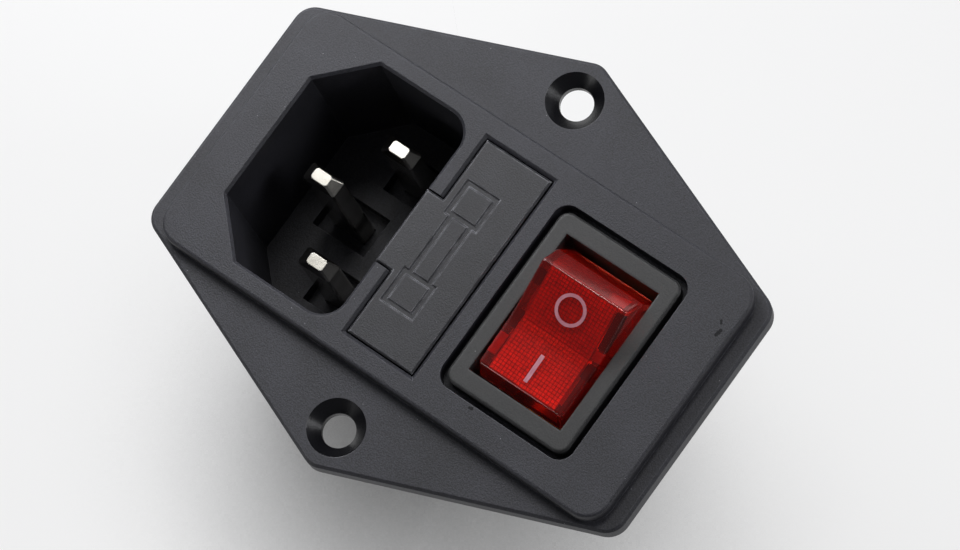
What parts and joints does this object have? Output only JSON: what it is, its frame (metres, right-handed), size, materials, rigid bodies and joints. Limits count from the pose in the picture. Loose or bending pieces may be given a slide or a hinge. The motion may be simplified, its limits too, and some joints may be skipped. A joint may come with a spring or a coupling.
{
  "type": "power entry module",
  "caption": "Screw-mounted panel power inlet with a chamfered three-pin socket, a pull-out fuse drawer with tongue and a lit red rocker switch on a six-sided black flange.",
  "frame": {"origin": "midway between the two screw holes, on the rear seat of the flange", "axes": "+X through the screw holes towards the O end of the rocker, +Y towards the inlet end, +Z out of the front face"},
  "size_m": [0.0488, 0.0582, 0.0353],
  "materials": {
    "black_moulding": "fine matt grain",
    "switch_moulding": "satin",
    "red_clear": "polished, clear",
    "plated_pin": "bright nickel plate",
    "contact_brass": "rolled strip",
    "plated_cap": "nickel plate",
    "contact_silver": "silver alloy",
    "spring_steel": "drawn wire",
    "tinned_wire": "tinned wire",
    "plunger_plastic": "smooth",
    "resistor_coat": "lacquer",
    "clear_glass": "clear"
  },
  "bodies": {
    "module": {"housing": "black_moulding", "line_pin": "plated_pin", "neutral_pin": "plated_pin", "earth_pin": "plated_pin", "fuse_contact_line": "contact_brass", "fuse_contact_load": "contact_brass", "switch_frame": "switch_moulding", "terminal_common": "contact_brass", "terminal_load": "contact_brass", "fixed_contact": "contact_silver", "terminal_lamp": "contact_brass", "neon_lamp": "clear_glass", "lamp_lead": "tinned_wire", "lamp_link": "tinned_wire", "lamp_resistor": "resistor_coat", "resistor_lead": "tinned_wire"},
    "drawer": {"fuse_drawer": "black_moulding", "fuse_glass": "clear_glass", "fuse_cap_line": "plated_cap", "fuse_cap_load": "plated_cap", "fuse_wire": "plated_cap"},
    "rocker": {"rocker": "red_clear", "contact_plunger": "plunger_plastic", "plunger_spring": "spring_steel"},
    "lever": {"contact_lever": "contact_brass", "moving_contact": "contact_silver"}
  },
  "joints": [
    {"name": "drawer_slide", "type": "slide", "parent": "module", "child": "drawer", "axis": [0, 0, 1], "range_m": [0, 0.016]},
    {"name": "rocker_tilt", "type": "hinge", "parent": "module", "child": "rocker", "pos_m": [0, -0.01345, 0.0001], "axis": [0, 1, 0], "range_deg": [0, 28]},
    {"name": "lever_tilt", "type": "hinge", "parent": "module", "child": "lever", "pos_m": [0, -0.01345, -0.0076], "axis": [0, 1, 0], "range_deg": [-14, 0]}
  ],
  "couplings": [
    {"joint": "lever_tilt", "follows": "rocker_tilt", "ratio": -0.5}
  ]
}
